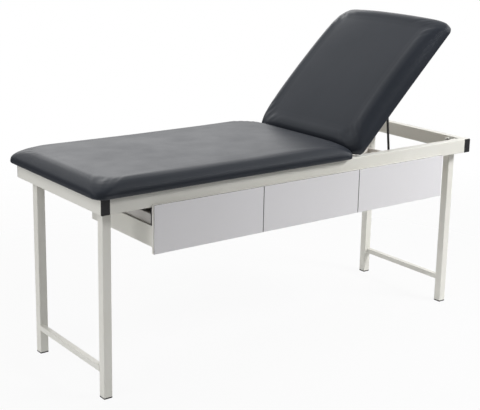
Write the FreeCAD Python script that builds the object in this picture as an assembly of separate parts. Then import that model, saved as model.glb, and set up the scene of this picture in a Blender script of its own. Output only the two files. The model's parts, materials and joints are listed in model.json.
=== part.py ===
import FreeCAD, Part
import os
from math import cos, radians, sin
from FreeCAD import Vector

os.makedirs("parts", exist_ok=True)

# Treatment couch with a raising backrest and three hanging drawers.
# Lengths are millimetres and angles are degrees. While the couch is built, the zero
# point is the plan centre of the steel frame on the floor: +X runs to the head end,
# -Y is the drawer side and +Z is up. Every piece is moved at the end, so that zero is
# the plan centre of the whole couch.

# Steel frame
frame_length = 1880.0
frame_width = 650.0
rail_top = 775.0
rail_height = 60.0
rail_width = 35.0
rail_wall = 2.0
tube_corner = 3.0
tube_inner_corner = 1.0
cross_tube_side = 30.0
cross_tube_wall = 1.5
foot_cross_tube_inset = 340.0
leg_side = 35.0
leg_wall = 1.5
leg_rail_gap = 20.0
leg_top_drop = 5.0
stretcher_side = 22.0
stretcher_wall = 1.5
stretcher_corner = 2.0
stretcher_underside = 98.0
cap_flange = 3.0
cap_plug_depth = 18.0
foot_flange = 5.0
foot_plug_depth = 24.0
plug_clearance = 0.3
plug_wall = 3.0
leg_bolt_spacing = 36.0
leg_bolt_radius = 4.0
leg_bolt_length = 54.0
bolt_clearance = 0.15
bolt_head_height_share = 1.3
bolt_head_corner_share = 1.9

# Upholstery
seat_side_overhang = 27.0
backrest_side_overhang = 3.0
pad_thickness = 60.5
pad_crown = 4.0
pad_corner = 46.0
pad_corner_growth = 1.8
pad_corner_share = 0.8
pad_edge_reach = 55.0
pad_side_draw = 3.0
board_thickness = 15.0
board_inset = 14.0
cover_gap = 0.3
seat_foot_overhang = 31.0
seat_hinge_space = 52.0
seat_bolt_radius = 3.0
seat_bolt_grip = 11.0
seat_bolt_rail_gap = 90.0

# Backrest, its hinges and the prop that holds it up
hinge_head_distance = 663.0
backrest_length = 718.0
backrest_extra_foam = 6.0
backrest_dome = 24.0
backrest_pad_lap = 12.0
backrest_board_set_back = 3.0
backrest_cover_set_back = 5.0
backrest_relief = 12.0
backrest_rest_angle = 44.3
hinge_count = 3
hinge_length = 60.0
hinge_rail_gap = 40.0
hinge_leaf_width = 30.0
hinge_leaf_thickness = 2.2
hinge_pin_radius = 2.5
hinge_pin_overhang = 1.5
hinge_knuckle_radius = 3.6
hinge_knuckle_top_gap = 0.2
hinge_gap = 0.4
running_clearance = 0.05
prop_pivot_reach = 220.0
prop_pivot_drop = 33.0
prop_rest_angle = 96.65
prop_radius = 5.0
prop_rail_gap = 23.0
prop_bend = 20.0
prop_foot_bend = 12.0
prop_foot_reach = 14.0
bush_radius = 7.5
bush_flange_radius = 11.0
bush_flange = 2.0
bush_length = 9.0
rack_height = 20.0
rack_thickness = 4.0
rack_foot_width = 22.0
rack_foot_thickness = 3.0
rack_prop_gap = 62.0
rack_pitch = 28.0
rack_end_share = 0.6
notches_below_rest = 3
notches_above_rest = 5
notch_clearance = 0.6
notch_depth = 9.0
prop_seat_gap = 0.5

# Drawers and the carriage that hangs them under the frame
drawer_count = 3
row_foot_gap = 132.25
row_head_gap = 121.25
fascia_gap = 3.0
fascia_thickness = 16.0
fascia_height = 181.5
fascia_rail_lap = 11.0
fascia_rail_gap = 2.0
fascia_edge_radius = 1.5
carriage_drop = 70.0
carriage_height = 78.0
carriage_depth = 436.0
carriage_sheet = 2.0
carriage_fascia_inset = 3.3
carriage_fascia_gap = 1.5
carriage_tab = 20.0
carriage_lip = 6.0
bracket_width = 14.0
bracket_foot = 22.0
bracket_runner_gap = 1.0
channel_height = 45.0
channel_flange = 20.0
hanger_width = 25.0
hanger_sheet = 3.0
hanger_setback = 9.0
runner_space = 13.0
runner_sheet = 1.5
runner_height = 40.0
runner_depth = 10.5
runner_clearance = 0.3
runner_length = 400.0
runner_setback = 6.0
runner_rise = 22.0
box_rise = 4.0
box_height = 109.0
box_wall = 12.0
box_rear_gap = 12.0
box_panel = 4.0
box_panel_rise = 10.0
box_groove = 6.0
groove_clearance = 0.1

# Values that follow from those above
half_length = frame_length / 2
half_width = frame_width / 2
rail_bottom = rail_top - rail_height
rail_middle_z = rail_top - rail_height / 2
rail_inner_y = half_width - rail_width
end_inner_x = half_length - rail_width
leg_outer_x = end_inner_x
leg_inner_x = leg_outer_x - leg_side
leg_outer_y = rail_inner_y - leg_rail_gap
leg_inner_y = leg_outer_y - leg_side
hinge_x = half_length - hinge_head_distance
seat_half_width = half_width + seat_side_overhang
backrest_half_width = half_width + backrest_side_overhang
seat_foot_end = -(half_length + seat_foot_overhang)
seat_head_end = hinge_x - seat_hinge_space
pad_underside = rail_top + cover_gap
pad_top = rail_top + pad_thickness
board_top = rail_top + board_thickness
fascia_back_y = -(half_width + fascia_rail_gap)
fascia_front_y = fascia_back_y - fascia_thickness
far_reach = max(seat_half_width, backrest_half_width)
near_reach = max(far_reach, -fascia_front_y)
zero_shift = Vector(seat_foot_overhang / 2, (near_reach - far_reach) / 2, 0)
hinge_z = rail_top - hinge_knuckle_radius - hinge_knuckle_top_gap
hinge_point = Vector(hinge_x, 0, hinge_z)
prop_pivot_x = hinge_x + prop_pivot_reach
prop_pivot_z = rail_top - prop_pivot_drop
hinge_tube_x = hinge_x - hinge_knuckle_radius - hinge_gap - cross_tube_side / 2
foot_tube_x = -half_length + foot_cross_tube_inset
middle_tube_x = (foot_tube_x + hinge_tube_x) / 2


def export(name, shape, swing=0.0):
    """Write one piece; swing turns it up about the backrest hinge first."""
    piece = shape.copy()
    if swing:
        piece.rotate(hinge_point, Vector(0, -1, 0), swing)
    piece.translate(zero_shift)
    if not piece.isValid():
        raise ValueError(name + " is not a valid shape")
    piece.exportStep("parts/" + name + ".step")
    print(name, len(piece.Solids), round(piece.Volume / 1000, 1), "cm3")


def block(x, y, z):
    """A box from three (low, high) pairs."""
    return Part.makeBox(x[1] - x[0], y[1] - y[0], z[1] - z[0], Vector(x[0], y[0], z[0]))


def rod(start, end, radius):
    """A round bar from one point to another."""
    return Part.makeCylinder(radius, (end - start).Length, start, end - start)


def mirrored_y(shape):
    return shape.mirror(Vector(0, 0, 0), Vector(0, 1, 0))


def rounded_outline(width, height, radius):
    """A rounded rectangle about zero in the XY plane."""
    a = width / 2
    b = height / 2
    k = radius * (1 - cos(radians(45)))
    corners = [
        (Vector(a, b - radius, 0), Vector(a - k, b - k, 0), Vector(a - radius, b, 0)),
        (Vector(radius - a, b, 0), Vector(k - a, b - k, 0), Vector(-a, b - radius, 0)),
        (Vector(-a, radius - b, 0), Vector(k - a, k - b, 0), Vector(radius - a, -b, 0)),
        (Vector(a - radius, -b, 0), Vector(a - k, k - b, 0), Vector(a, radius - b, 0)),
    ]
    edges = []
    for number, corner in enumerate(corners):
        edges.append(Part.Arc(*corner).toShape())
        following = corners[(number + 1) % 4][0]
        edges.append(Part.LineSegment(corner[2], following).toShape())
    return Part.Wire(edges)


def bar(width, height, radius, length):
    """A solid bar of rounded section that rises along +Z from zero."""
    return Part.Face(rounded_outline(width, height, radius)).extrude(Vector(0, 0, length))


def tube(width, height, wall, length, corner=tube_corner):
    """A square or rectangular tube that rises along +Z from zero."""
    inner = bar(width - 2 * wall, height - 2 * wall, tube_inner_corner, length)
    return bar(width, height, corner, length).cut(inner)


def along_x(shape, x, y, z):
    """Lay a +Z shape along +X: its width becomes Y and its height becomes Z."""
    laid = shape.copy()
    laid.rotate(Vector(0, 0, 0), Vector(1, 1, 1), 120)
    laid.translate(Vector(x, y, z))
    return laid


def along_y(shape, x, y, z):
    """Lay a +Z shape along +Y: its width stays X and its height becomes Z."""
    laid = shape.copy()
    laid.rotate(Vector(0, 0, 0), Vector(1, 0, 0), -90)
    laid.translate(Vector(x, y, z))
    return laid


def hex_bolt(point, direction, radius, length):
    """A hexagon-head bolt: point is under the head and direction runs into the work."""
    reach = radius * bolt_head_corner_share
    corners = []
    for turn in range(7):
        angle = radians(60 * turn)
        corners.append(Vector(reach * cos(angle), reach * sin(angle), 0))
    outline = Part.Face(Part.makePolygon(corners))
    head = outline.extrude(Vector(0, 0, radius * bolt_head_height_share))
    head.Placement = FreeCAD.Placement(point, FreeCAD.Rotation(Vector(0, 0, 1), direction * -1))
    return Part.makeCylinder(radius, length, point, direction).fuse(head).removeSplitter()


# Frame rails

def leg_bolt_points():
    """Where each leg bolt's head bears on its leg, with the way that the bolt runs."""
    points = []
    for end in (-1, 1):
        for side in (-1, 1):
            y = side * (leg_outer_y + leg_inner_y) / 2
            for rise in (-1, 1):
                z = rail_middle_z + rise * leg_bolt_spacing / 2
                points.append((Vector(end * leg_inner_x, y, z), Vector(end, 0, 0)))
    return points


def leg_bolt_holes():
    holes = []
    for point, direction in leg_bolt_points():
        start = point - direction
        radius = leg_bolt_radius + bolt_clearance
        holes.append(Part.makeCylinder(radius, leg_bolt_length + 2, start, direction))
    return holes


def end_rail(end):
    """A full-width tube across one end, open at both ends for its caps."""
    length = 2 * (half_width - cap_flange)
    blank = tube(rail_width, rail_height, rail_wall, length)
    rail = along_y(blank, end * (half_length - rail_width / 2), -length / 2, rail_middle_z)
    for hole in leg_bolt_holes():
        rail = rail.cut(hole)
    return rail


def side_rail(side):
    """A tube along one side, welded between the end rails."""
    blank = tube(rail_width, rail_height, rail_wall, 2 * end_inner_x)
    rail = along_x(blank, -end_inner_x, side * (half_width - rail_width / 2), rail_middle_z)
    bush_start = Vector(prop_pivot_x, side * (rail_inner_y - 1), prop_pivot_z)
    bush_end = Vector(prop_pivot_x, side * (rail_inner_y + rail_wall + 1), prop_pivot_z)
    return rail.cut(rod(bush_start, bush_end, bush_radius))


def rail_cap(end, side):
    """A moulded plug whose flange covers the open end of an end rail."""
    flange = bar(rail_width, rail_height, tube_corner, cap_flange)
    slack = 2 * (rail_wall + plug_clearance)
    hollow = slack + 2 * plug_wall
    plug = bar(rail_width - slack, rail_height - slack, tube_inner_corner, cap_plug_depth)
    plug = plug.cut(bar(rail_width - hollow, rail_height - hollow, tube_inner_corner, cap_plug_depth))
    plug.translate(Vector(0, 0, cap_flange))
    cap = along_y(flange.fuse(plug), end * (half_length - rail_width / 2), -half_width, rail_middle_z)
    return mirrored_y(cap) if side > 0 else cap


def cross_tube(x, top):
    """A square tube between the side rails."""
    blank = tube(cross_tube_side, cross_tube_side, cross_tube_wall, 2 * rail_inner_y)
    return along_y(blank, x, -rail_inner_y, top - cross_tube_side / 2)


# Legs

def leg(end, side):
    """A square tube that stands in a corner of the frame, bolted to the end rail."""
    length = rail_top - leg_top_drop - foot_flange
    blank = tube(leg_side, leg_side, leg_wall, length)
    x = end * (leg_outer_x + leg_inner_x) / 2
    y = side * (leg_outer_y + leg_inner_y) / 2
    blank.translate(Vector(x, y, foot_flange))
    for hole in leg_bolt_holes():
        blank = blank.cut(hole)
    return blank


def foot_plug(end, side):
    """A moulded foot: a flange under the leg and a plug inside it."""
    inside = leg_side - 2 * (leg_wall + plug_clearance)
    flange = bar(leg_side, leg_side, tube_corner, foot_flange)
    plug = flange.fuse(bar(inside, inside, tube_inner_corner, foot_flange + foot_plug_depth))
    x = end * (leg_outer_x + leg_inner_x) / 2
    y = side * (leg_outer_y + leg_inner_y) / 2
    plug.translate(Vector(x, y, 0))
    return plug.removeSplitter()


def stretcher(end):
    """A light tube between the two legs of one end, flush with their outer faces."""
    blank = tube(stretcher_side, stretcher_side, stretcher_wall, 2 * leg_inner_y, stretcher_corner)
    x = end * (leg_outer_x - stretcher_side / 2)
    return along_y(blank, x, -leg_inner_y, stretcher_underside + stretcher_side / 2)


# Upholstery

def dome_share(x, y, x_low, x_high, half):
    """How much of its dome a pad has at a place: none at its corners and hinge end, all in its middle."""
    along = (2 * x - x_low - x_high) / (x_high - x_low)
    across = y / half
    return 1 - (along if along < 0 else along * across) ** 2


def domed(edge, x_low, x_high, half, lift):
    """An edge of a pad's outline, raised by its share of the dome."""
    points = []
    for point in edge.discretize(9):
        rise = lift * dome_share(point.x, point.y, x_low, x_high, half)
        points.append(point + Vector(0, 0, rise))
    curve = Part.BSplineCurve()
    curve.interpolate(points)
    return curve.toShape()


def pad_outline(x_low, x_high, half, inset, corner, z, lift=0.0):
    """A pad's plan outline at one height: straight ends, slightly drawn-in long sides."""
    low = x_low + inset
    high = x_high - inset
    b = half - inset
    r = min(corner, pad_corner_share * b)
    k = r * (1 - cos(radians(45)))
    draw = b - pad_side_draw
    middle = (low + high) / 2

    def at(x, y):
        return Vector(x, y, z)

    arcs = [
        (at(high, b - r), at(high - k, b - k), at(high - r, b)),
        (at(high - r, b), at(middle, draw), at(low + r, b)),
        (at(low + r, b), at(low + k, b - k), at(low, b - r)),
        (at(low, r - b), at(low + k, k - b), at(low + r, -b)),
        (at(low + r, -b), at(middle, -draw), at(high - r, -b)),
        (at(high - r, -b), at(high - k, k - b), at(high, r - b)),
    ]
    edges = [Part.Arc(*points).toShape() for points in arcs]
    edges.insert(3, Part.LineSegment(at(low, b - r), at(low, r - b)).toShape())
    edges.append(Part.LineSegment(at(high, r - b), at(high, b - r)).toShape())
    if lift:
        edges = [domed(edge, x_low, x_high, half, lift) for edge in edges]
    return Part.Wire(edges)


def pad(x_low, x_high, half, extra_foam=0.0, dome=0.0):
    """A foam pad under its cover: full sides, a soft top edge and a crown.

    Its corners grow rounder from the widest place up to the top. A dome raises every height
    by its share, most in the middle of the pad.
    """
    foam = pad_top - pad_underside + extra_foam
    foam_top = pad_underside + foam
    lower_shares = [(0.1, 0.0), (0.025, 0.12)]
    upper_shares = [(0.0, 0.26), (0.08, 0.52), (0.28, 0.74), (0.55, 0.905), (1.0, 1.0)]
    crown_shares = [(0.18, 0.65), (0.51, 1.0)]
    crown_reach = half - pad_edge_reach
    rings = []
    for across, up in lower_shares:
        inset = across * pad_edge_reach
        rings.append((inset, pad_corner - inset, pad_underside + up * foam, 0.0))
    for across, up in upper_shares:
        inset = across * pad_edge_reach
        corner = pad_corner + pad_corner_growth * inset
        rings.append((inset, corner, pad_underside + up * foam, up * dome))
    corner = pad_corner + pad_corner_growth * pad_edge_reach
    (shoulder, shoulder_up), (middle, middle_up) = crown_shares
    rings.append((pad_edge_reach + shoulder * crown_reach, corner,
                  foam_top + shoulder_up * pad_crown, dome))
    rings.append((pad_edge_reach + middle * crown_reach, corner,
                  foam_top + middle_up * pad_crown + dome, 0.0))
    outlines = [pad_outline(x_low, x_high, half, *ring) for ring in rings]
    return Part.makeLoft(outlines, True, True)


def board(x_low, x_high, half, grown=0.0, deeper=0.0):
    """The plywood base board under a pad, or the grown space that the pad leaves for it."""
    r = pad_corner - board_inset + grown
    length = x_high - x_low + 2 * grown
    width = 2 * (half - board_inset + grown)
    sheet = bar(length, width, r, board_thickness + grown + deeper)
    sheet.translate(Vector((x_low + x_high) / 2, 0, rail_top - deeper))
    return sheet


def hinge_space():
    """What is cut from the backrest pad over the hinges, so that it can swing up over them."""
    ceiling = board_top + cover_gap
    edge = hinge_x + backrest_cover_set_back
    far = hinge_x - 2 * backrest_pad_lap
    corners = [(edge, rail_top), (edge, ceiling), (hinge_x, ceiling),
               (far, ceiling + 2 * backrest_relief), (far, rail_top)]
    points = [Vector(x, -backrest_half_width, z) for x, z in corners + corners[:1]]
    return Part.Face(Part.makePolygon(points)).extrude(Vector(0, 2 * backrest_half_width, 0))


def seat_bolt_points():
    points = []
    for x in (foot_tube_x, middle_tube_x):
        for side in (-1, 1):
            y = side * (rail_inner_y - seat_bolt_rail_gap)
            points.append(Vector(x, y, rail_top - cross_tube_side))
    return points


def seat_bolt_hole(point):
    radius = seat_bolt_radius + bolt_clearance
    start = point - Vector(0, 0, 1)
    return Part.makeCylinder(radius, cross_tube_side + seat_bolt_grip + 2, start, Vector(0, 0, 1))


# Hinges

def hinge_centres():
    outermost = rail_inner_y - hinge_rail_gap - hinge_length / 2
    step = 2 * outermost / (hinge_count - 1)
    return [number * step - outermost for number in range(hinge_count)]


def knuckle_spans(moving):
    """The stretches along the pin that one leaf's knuckles take, about the hinge's middle."""
    third = hinge_length / 3
    if moving:
        return [(-third / 2 + hinge_gap / 2, third / 2 - hinge_gap / 2)]
    return [(-hinge_length / 2, -third / 2 - hinge_gap / 2), (third / 2 + hinge_gap / 2, hinge_length / 2)]


def hinge_leaf(y, moving):
    """One leaf with its rolled knuckles. The moving leaf lies on the head side of the pin."""
    way = 1 if moving else -1
    top = rail_top
    low = top - hinge_leaf_thickness
    near = hinge_knuckle_radius + hinge_gap
    far = near + hinge_leaf_width

    def span_x(a, b):
        ends = (hinge_x + way * a, hinge_x + way * b)
        return (min(ends), max(ends))

    leaf = block(span_x(near, far), (y - hinge_length / 2, y + hinge_length / 2), (low, top))
    for start, end in knuckle_spans(moving):
        web = block(span_x(0, near), (y + start, y + end), (low, hinge_z + hinge_knuckle_radius))
        roll_ends = (Vector(hinge_x, y + start, hinge_z), Vector(hinge_x, y + end, hinge_z))
        roll = rod(*roll_ends, hinge_knuckle_radius)
        leaf = leaf.fuse(web).fuse(roll)
    bore = hinge_pin_radius + running_clearance
    hole = rod(Vector(hinge_x, y - hinge_length, hinge_z), Vector(hinge_x, y + hinge_length, hinge_z), bore)
    return leaf.cut(hole).removeSplitter()


def hinge_pin(y):
    reach = hinge_length / 2 + hinge_pin_overhang
    return rod(Vector(hinge_x, y - reach, hinge_z), Vector(hinge_x, y + reach, hinge_z), hinge_pin_radius)


# Prop and racks

prop_y = rail_inner_y - prop_rail_gap - prop_radius
rack_y = prop_y - rack_prop_gap
prop_pivot = Vector(prop_pivot_x, 0, prop_pivot_z)


def prop_bar_distance():
    """From the backrest hinge, along the underside, and the prop's length at rest."""
    tilt = radians(backrest_rest_angle)
    lean = radians(prop_rest_angle)
    below = rack_height + prop_radius + prop_seat_gap - (rail_top - hinge_z)
    offset_x = prop_pivot_x - hinge_x
    offset_z = prop_pivot_z - hinge_z
    pivot_below = offset_x * sin(tilt) - offset_z * cos(tilt)
    approach = cos(lean) * sin(tilt) - sin(lean) * cos(tilt)
    length = (pivot_below - below) / -approach
    bar_x = offset_x + length * cos(lean)
    bar_z = offset_z + length * sin(lean)
    return bar_x * cos(tilt) + bar_z * sin(tilt), length


def bail_wire(length):
    """The bent bar's middle line, upright over zero, from one turned-out foot to the other."""
    reach = rail_inner_y + prop_foot_reach
    turns = [
        (Vector(0, -prop_y, 0), prop_foot_bend),
        (Vector(0, -prop_y, length), prop_bend),
        (Vector(0, prop_y, length), prop_bend),
        (Vector(0, prop_y, 0), prop_foot_bend),
    ]
    places = [Vector(0, -reach, 0)] + [turn[0] for turn in turns] + [Vector(0, reach, 0)]
    edges = []
    here = places[0]
    for number, (corner, radius) in enumerate(turns):
        before = (places[number] - corner).normalize()
        after = (places[number + 2] - corner).normalize()
        start = corner + before * radius
        end = corner + after * radius
        centre = corner + (before + after) * radius
        middle = centre + (corner - centre).normalize() * radius
        edges.append(Part.LineSegment(here, start).toShape())
        edges.append(Part.Arc(start, middle, end).toShape())
        here = end
    edges.append(Part.LineSegment(here, places[-1]).toShape())
    return Part.Wire(edges)


def prop_bail():
    """A U-shaped bar: feet turned out into the side rails, top bar under the racks."""
    length = prop_bar_distance()[1]
    path = bail_wire(length)
    start = path.Vertexes[0].Point
    section = Part.Wire(Part.makeCircle(prop_radius, start, Vector(0, 1, 0)))
    bail = path.makePipeShell([section], True, False)
    bail.rotate(Vector(0, 0, 0), Vector(0, -1, 0), prop_rest_angle - 90)
    bail.translate(prop_pivot)
    return bail


def prop_bush(side):
    """A flanged bush in a side rail's inner wall that carries one foot of the prop."""
    face = side * rail_inner_y
    out = Vector(0, side, 0)
    start = Vector(prop_pivot_x, face, prop_pivot_z)
    bush = Part.makeCylinder(bush_radius, bush_length, start, out)
    flange = Part.makeCylinder(bush_flange_radius, bush_flange, start - out * bush_flange, out)
    hole_start = start - out * 2 * bush_flange
    hole = Part.makeCylinder(prop_radius + running_clearance, 2 * bush_length, hole_start, out)
    return bush.fuse(flange).cut(hole)


def rack(side):
    """A notched strip with a foot, screwed under the backrest board, drawn lying flat."""
    rest_notch = hinge_x + prop_bar_distance()[0]
    start = rest_notch - (notches_below_rest + rack_end_share) * rack_pitch
    end = rest_notch + (notches_above_rest + rack_end_share) * rack_pitch
    low = rail_top - rack_height
    y = side * rack_y
    strip = block((start, end), (y - rack_thickness / 2, y + rack_thickness / 2), (low, rail_top))
    radius = prop_radius + notch_clearance
    for number in range(-notches_below_rest, notches_above_rest + 1):
        x = rest_notch + number * rack_pitch
        seat = low + notch_depth - radius
        axis = Vector(x, y - rack_thickness, seat)
        strip = strip.cut(Part.makeCylinder(radius, 2 * rack_thickness, axis, Vector(0, 1, 0)))
        mouth = block((x - radius, x + radius), (y - rack_thickness, y + rack_thickness), (low - 1, seat))
        strip = strip.cut(mouth)
    inner = y - side * rack_thickness / 2
    foot_y = sorted((inner, inner - side * rack_foot_width))
    foot = block((start, end), foot_y, (rail_top - rack_foot_thickness, rail_top))
    return strip.fuse(foot).removeSplitter()


# Drawer carriage

row_start = -leg_inner_x + row_foot_gap
drawer_pitch = (leg_inner_x - row_head_gap - row_start) / drawer_count
fascia_width = drawer_pitch - fascia_gap
carriage_rear = -half_width + carriage_depth
side_plate_outer = fascia_width / 2 - carriage_fascia_inset
side_plate_inner = side_plate_outer - carriage_sheet
carriage_top = rail_bottom - carriage_drop
carriage_bottom = carriage_top - carriage_height
channel_bottom = carriage_top - channel_height
fascia_bottom = rail_bottom + fascia_rail_lap - fascia_height
box_bottom = carriage_bottom + box_rise
box_half_width = side_plate_inner - runner_space
box_front_y = fascia_back_y
box_rear_y = carriage_rear - box_rear_gap
runner_middle = carriage_bottom + runner_rise + runner_height / 2


def drawer_centres():
    return [row_start + (number + 0.5) * drawer_pitch for number in range(drawer_count)]


def carriage_sides():
    """The inner face of every side plate, with the way that it faces into its drawer."""
    sides = []
    for centre in drawer_centres():
        sides.append((centre - side_plate_inner, 1))
        sides.append((centre + side_plate_inner, -1))
    return sides


def sheet_x(x, facing, low, high):
    """A range of x that starts at a plate's inner face; positive lies inside the drawer bay."""
    return tuple(sorted((x + facing * low, x + facing * high)))


def side_plate(x, facing):
    """A folded sheet beside a drawer, with a lip along its foot and a tab behind."""
    front = fascia_back_y + carriage_fascia_gap
    wall = block(sheet_x(x, facing, -carriage_sheet, 0), (front, carriage_rear),
                 (carriage_bottom, carriage_top))
    lip = block(sheet_x(x, facing, 0, carriage_lip), (front, carriage_rear),
                (carriage_bottom, carriage_bottom + carriage_sheet))
    tab = block(sheet_x(x, facing, 0, carriage_tab), (carriage_rear - carriage_sheet, carriage_rear),
                (channel_bottom, carriage_top))
    return wall.fuse(lip).fuse(tab).removeSplitter()


def front_bracket(x, facing):
    """A narrow angle that hangs a side plate's front end from the near rail."""
    front = -half_width
    leg_z = (runner_middle + runner_height / 2 + bracket_runner_gap, rail_bottom)
    upright = block(sheet_x(x, facing, 0, carriage_sheet), (front, front + bracket_width), leg_z)
    foot = block(sheet_x(x, facing, 0, bracket_foot), (front, front + bracket_width),
                 (rail_bottom - carriage_sheet, rail_bottom))
    return upright.fuse(foot).removeSplitter()


def rear_channel():
    """A channel behind all the side plates, open to the back."""
    ends = [x for x, facing in carriage_sides()]
    x = (min(ends) - carriage_sheet, max(ends) + carriage_sheet)
    web = block(x, (carriage_rear, carriage_rear + carriage_sheet), (channel_bottom, carriage_top))
    channel = web
    for low in (channel_bottom, carriage_top - carriage_sheet):
        flange = block(x, (carriage_rear, carriage_rear + channel_flange), (low, low + carriage_sheet))
        channel = channel.fuse(flange)
    return channel.removeSplitter()


def rear_hanger(x, tube_bottom):
    """A strap with a turned head, from a cross tube down to the rear channel's top."""
    wide = (x - hanger_width / 2, x + hanger_width / 2)
    y = carriage_rear + hanger_setback
    strap = block(wide, (y, y + hanger_sheet), (carriage_top, tube_bottom))
    head = block(wide, (y, y + hanger_width), (tube_bottom - hanger_sheet, tube_bottom))
    foot = block(wide, (carriage_rear, carriage_rear + channel_flange),
                 (carriage_top, carriage_top + hanger_sheet))
    return strap.fuse(head).fuse(foot).removeSplitter()


def runner_channel(x, facing, start, end, height, y):
    """A lipped runner section between two offsets from the plate, mouth at the second."""
    low = runner_middle - height / 2
    web_end = start + runner_sheet if end > start else start - runner_sheet
    web = block(sheet_x(x, facing, min(start, web_end), max(start, web_end)), y, (low, low + height))
    span = sheet_x(x, facing, min(start, end), max(start, end))
    lips = [block(span, y, (z, z + runner_sheet)) for z in (low, low + height - runner_sheet)]
    return web.fuse(lips[0]).fuse(lips[1]).removeSplitter()


def runner_span():
    front = fascia_back_y + runner_setback
    return front, front + runner_length


def fixed_runner(x, facing):
    return runner_channel(x, facing, 0.0, runner_depth, runner_height, runner_span())


def moving_runner(x, facing):
    """The drawer's member: its web is on the box side and its lips run inside the fixed one."""
    height = runner_height - 2 * (runner_sheet + runner_clearance)
    front, back = runner_span()
    span = (front, min(back, box_rear_y))
    return runner_channel(x, facing, runner_space, 2 * runner_sheet, height, span)


# Drawers

def fascia(centre):
    """A faced board with eased edges."""
    board_shape = block((centre - fascia_width / 2, centre + fascia_width / 2),
                        (fascia_front_y, fascia_back_y), (fascia_bottom, fascia_bottom + fascia_height))
    front_edges = [edge for edge in board_shape.Edges
                   if abs(edge.BoundBox.YMax - fascia_front_y) < 0.001]
    return board_shape.makeFillet(fascia_edge_radius, front_edges)


def box_side(centre, side):
    """One side of a drawer box, grooved for its bottom panel."""
    outer = centre + side * box_half_width
    x = sorted((outer, outer - side * box_wall))
    wall = block(x, (box_front_y, box_rear_y), (box_bottom, box_bottom + box_height))
    return wall.cut(groove_cutter(centre))


def groove_cutter(centre):
    """The space of the bottom panel and its clearance, which the box walls are cut by."""
    half = box_half_width - box_wall + box_groove + groove_clearance
    y = (box_front_y + box_wall - box_groove - groove_clearance,
         box_rear_y - box_wall + box_groove + groove_clearance)
    low = box_bottom + box_panel_rise - groove_clearance
    return block((centre - half, centre + half), y, (low, low + box_panel + 2 * groove_clearance))


def box_end(centre, y):
    """The front or back wall between the sides of a drawer box."""
    half = box_half_width - box_wall
    wall = block((centre - half, centre + half), y, (box_bottom, box_bottom + box_height))
    return wall.cut(groove_cutter(centre))


def box_panel_sheet(centre):
    half = box_half_width - box_wall + box_groove
    y = (box_front_y + box_wall - box_groove, box_rear_y - box_wall + box_groove)
    low = box_bottom + box_panel_rise
    return block((centre - half, centre + half), y, (low, low + box_panel))


def group(shapes):
    return Part.makeCompound(list(shapes))


# Write the frame
export("end_rail_foot", end_rail(-1))
export("end_rail_head", end_rail(1))
export("side_rail_near", side_rail(-1))
export("side_rail_far", side_rail(1))
export("rail_end_caps", group(rail_cap(end, side) for end in (-1, 1) for side in (-1, 1)))

cross_tubes = {
    "cross_tube_foot": (foot_tube_x, rail_top),
    "cross_tube_middle": (middle_tube_x, rail_top),
    "cross_tube_hinge": (hinge_tube_x, rail_top - hinge_leaf_thickness),
}
for name, (tube_x, tube_top) in cross_tubes.items():
    tube_shape = cross_tube(tube_x, tube_top)
    for bolt_point in seat_bolt_points():
        tube_shape = tube_shape.cut(seat_bolt_hole(bolt_point))
    export(name, tube_shape)

for end, end_name in ((-1, "foot"), (1, "head")):
    for side, side_name in ((-1, "near"), (1, "far")):
        export("leg_" + end_name + "_" + side_name, leg(end, side))
    export("stretcher_" + end_name, stretcher(end))
export("foot_plugs", group(foot_plug(end, side) for end in (-1, 1) for side in (-1, 1)))
export("leg_bolts", group(hex_bolt(point, way, leg_bolt_radius, leg_bolt_length)
                          for point, way in leg_bolt_points()))

# Write the seat
seat_span = (seat_foot_end + board_inset, seat_head_end - board_inset)
seat_board = board(*seat_span, seat_half_width)
for bolt_point in seat_bolt_points():
    seat_board = seat_board.cut(seat_bolt_hole(bolt_point))
export("seat_board", seat_board)
seat_pad = pad(seat_foot_end, seat_head_end, seat_half_width)
export("seat_pad", seat_pad.cut(board(*seat_span, seat_half_width, cover_gap, 1.0)))
export("seat_bolts", group(hex_bolt(point, Vector(0, 0, 1), seat_bolt_radius,
                                    cross_tube_side + seat_bolt_grip) for point in seat_bolt_points()))

# Write the hinges
export("hinge_frame_leaves", group(hinge_leaf(y, False) for y in hinge_centres()))
export("hinge_pins", group(hinge_pin(y) for y in hinge_centres()))
export("hinge_backrest_leaves", group(hinge_leaf(y, True) for y in hinge_centres()), backrest_rest_angle)

# Write the backrest, drawn lying flat and swung up to its rest angle
backrest_span = (hinge_x + backrest_board_set_back, hinge_x + backrest_length - board_inset)
export("backrest_board", board(*backrest_span, backrest_half_width), backrest_rest_angle)
backrest_pad = pad(hinge_x - backrest_pad_lap, hinge_x + backrest_length, backrest_half_width,
                   backrest_extra_foam, backrest_dome)
backrest_pad = backrest_pad.cut(board(*backrest_span, backrest_half_width, cover_gap, 1.0))
export("backrest_pad", backrest_pad.cut(hinge_space()), backrest_rest_angle)
export("prop_racks", group(rack(side) for side in (-1, 1)), backrest_rest_angle)

# Write the prop
export("prop_bail", prop_bail())
export("prop_bushes", group(prop_bush(side) for side in (-1, 1)))
print("prop length", round(prop_bar_distance()[1], 2), "rest notch at", round(prop_bar_distance()[0], 2))

# Write the drawer carriage
export("carriage_side_plates", group(side_plate(x, facing) for x, facing in carriage_sides()))
export("carriage_brackets", group(front_bracket(x, facing) for x, facing in carriage_sides()))
export("carriage_channel", rear_channel())
export("carriage_hangers", group(rear_hanger(x, top - cross_tube_side) for x, top in cross_tubes.values()))

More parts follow.
